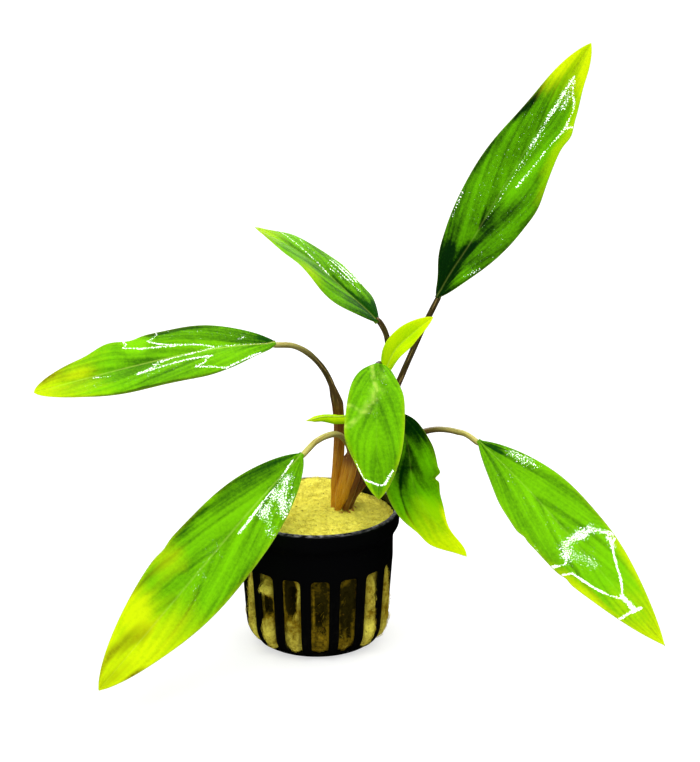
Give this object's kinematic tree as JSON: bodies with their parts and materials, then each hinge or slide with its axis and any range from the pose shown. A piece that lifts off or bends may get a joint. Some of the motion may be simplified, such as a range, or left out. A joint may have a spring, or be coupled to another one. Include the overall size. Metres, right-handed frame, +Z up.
{
  "type": "potted homalomena",
  "caption": "Young aroid houseplant with glossy lance-shaped leaves on arching stalks, growing in yellow stone wool in a small slotted net pot.",
  "frame": {"origin": "centre of the underside of the net pot, on the surface that it stands on", "axes": "+Z up along the pot's axis; -Y towards the side that the picture shows; +X to the right of that view, where the tallest leaf leans"},
  "size_m": [0.2065, 0.1252, 0.1957],
  "materials": {
    "pot_plastic": "black moulded plastic with a satin sheen",
    "stone_wool": "matt matted fibres, straw yellow, olive in shade",
    "sheath": "orange-brown, faintly glossy",
    "stalk": "smooth olive-brown skin, orange-brown at the sheathed foot",
    "leaf": "glossy bright green with a pale midrib and yellow-green edges",
    "leaf_deep": "glossy deep green, yellow-green towards the tip",
    "leaf_young": "soft satin yellow-green of a new leaf"
  },
  "bodies": {
    "root": {"net_pot": "pot_plastic", "stone_wool": "stone_wool", "crown": "sheath", "stalk_top_right": "stalk", "stalk_upper_left": "stalk", "stalk_left": "stalk", "stalk_lower_left": "stalk", "stalk_front": "stalk", "stalk_lower_right": "stalk", "stalk_right": "stalk", "stalk_young": "stalk", "stalk_rolled": "stalk", "leaf_top_right": "leaf_deep", "leaf_upper_left": "leaf", "leaf_left": "leaf", "leaf_lower_left": "leaf", "leaf_front": "leaf", "leaf_lower_right": "leaf_deep", "leaf_right": "leaf", "leaf_young": "leaf_young", "leaf_rolled": "leaf_young"}
  },
  "joints": []
}
